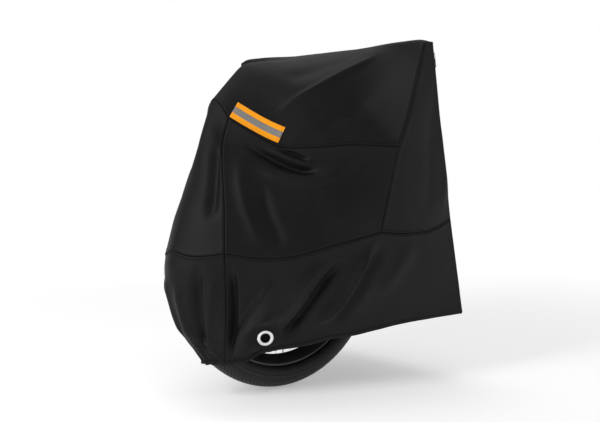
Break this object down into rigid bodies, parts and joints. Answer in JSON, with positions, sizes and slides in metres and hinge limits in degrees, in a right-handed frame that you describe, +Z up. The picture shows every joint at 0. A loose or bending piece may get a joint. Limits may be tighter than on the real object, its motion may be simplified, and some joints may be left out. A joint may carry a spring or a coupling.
{
  "type": "unicycle",
  "caption": "Touring unicycle with a wide handlebar, standing under a fitted dark fabric cover with orange reflector tabs; the lower part of its wheel shows below the hem.",
  "frame": {"origin": "where the tyre touches the ground, in the middle plane of the wheel", "axes": "+Z up, +X the way it rides, +Y to the rider's left; the axle lies along Y at a height of 0.37 m"},
  "size_m": [0.842, 0.7958, 0.9776],
  "materials": {
    "cloth": "matt woven soft shell, charcoal black",
    "binding": "ribbed elastic, black",
    "tyre": "matt black rubber",
    "butyl": "smooth black rubber",
    "black": "satin black",
    "alloy": "satin",
    "steel": "satin",
    "plastic": "matt black",
    "grip": "ribbed black",
    "vinyl": "fine grain vinyl, black",
    "orange": "amber orange webbing",
    "reflective": "silver grey reflective tape",
    "zinc": "bright nickel"
  },
  "bodies": {
    "frame": {"frame": "black", "bearing_cap_left": "alloy", "bearing_cap_right": "alloy", "bearing_left": "steel", "bearing_right": "steel", "cap_bolt_left_front": "steel", "cap_bolt_left_rear": "steel", "cap_bolt_right_front": "steel", "cap_bolt_right_rear": "steel", "clamp_collar_left": "alloy", "clamp_collar_right": "alloy"},
    "wheel": {"tyre": "tyre", "inner_tube": "butyl", "rim": "black", "spokes_left": "steel", "spokes_right": "steel", "hub_shell": "black", "axle": "steel", "valve": "alloy", "crank_left": "black", "crank_right": "black", "crank_bolt_left": "steel", "crank_bolt_right": "steel", "pedal_spindle_left": "steel", "pedal_spindle_right": "steel"},
    "pedal_left": {"pedal_left": "plastic"},
    "pedal_right": {"pedal_right": "plastic"},
    "seat": {"seat_post_left": "alloy", "seat_post_right": "alloy", "seat_bracket": "black", "handlebar": "black", "grip_left": "grip", "grip_right": "grip", "saddle_base": "plastic", "saddle_pad": "vinyl"},
    "clamp_lever_left": {"clamp_lever_left": "alloy"},
    "clamp_lever_right": {"clamp_lever_right": "alloy"},
    "cover": {"cover_tail_upper": "cloth", "cover_tail_lower": "cloth", "cover_yoke": "cloth", "cover_front_upper": "cloth", "cover_front_lower": "cloth", "cover_side_upper_left": "cloth", "cover_side_upper_right": "cloth", "cover_gusset_left": "cloth", "cover_gusset_right": "cloth", "cover_side_lower_left": "cloth", "cover_side_lower_right": "cloth", "hem_band": "binding", "eyelet_left": "zinc", "eyelet_right": "zinc", "reflector_tab_left": "orange", "reflector_tab_right": "orange", "reflective_strip_left": "reflective", "reflective_strip_right": "reflective", "zip_chain": "plastic"},
    "zip_slider": {"zip_slider": "steel"},
    "zip_pull": {"zip_pull": "steel"}
  },
  "joints": [
    {"name": "wheel_spin", "type": "hinge", "parent": "frame", "child": "wheel", "pos_m": [0, 0, 0.37], "axis": [0, 1, 0], "continuous": true},
    {"name": "pedal_left_spin", "type": "hinge", "parent": "wheel", "child": "pedal_left", "pos_m": [0.114, 0.1305, 0.37], "axis": [0, 1, 0], "continuous": true},
    {"name": "pedal_right_spin", "type": "hinge", "parent": "wheel", "child": "pedal_right", "pos_m": [-0.114, -0.1305, 0.37], "axis": [0, 1, 0], "continuous": true},
    {"name": "seat_height", "type": "slide", "parent": "frame", "child": "seat", "axis": [0, 0, 1], "range_m": [0, 0.12]},
    {"name": "clamp_lever_left_hinge", "type": "hinge", "parent": "frame", "child": "clamp_lever_left", "pos_m": [0.0245, 0.0797, 0.736], "axis": [0, 0, 1], "range_deg": [-100, 0]},
    {"name": "clamp_lever_right_hinge", "type": "hinge", "parent": "frame", "child": "clamp_lever_right", "pos_m": [0.0245, -0.0797, 0.736], "axis": [0, 0, 1], "range_deg": [0, 100]},
    {"name": "cover_lift", "type": "slide", "parent": "seat", "child": "cover", "axis": [0, 0, 1], "range_m": [0, 0.95], "deforming": ["cover_tail_upper", "cover_tail_lower", "cover_yoke", "cover_front_upper", "cover_front_lower", "cover_side_upper_left", "cover_side_upper_right", "cover_gusset_left", "cover_gusset_right", "cover_side_lower_left", "cover_side_lower_right", "hem_band", "eyelet_left", "eyelet_right", "reflector_tab_left", "reflector_tab_right", "reflective_strip_left", "reflective_strip_right", "zip_chain"]},
    {"name": "zip_slide", "type": "slide", "parent": "cover", "child": "zip_slider", "axis": [0.3455, 0.161, -0.9245], "range_m": [0, 0.44]},
    {"name": "zip_pull_swing", "type": "hinge", "parent": "zip_slider", "child": "zip_pull", "pos_m": [0.20733, -0.38384, 0.93658], "axis": [-0.0564, 0.9869, 0.1509], "range_deg": [-150, 0]}
  ]
}
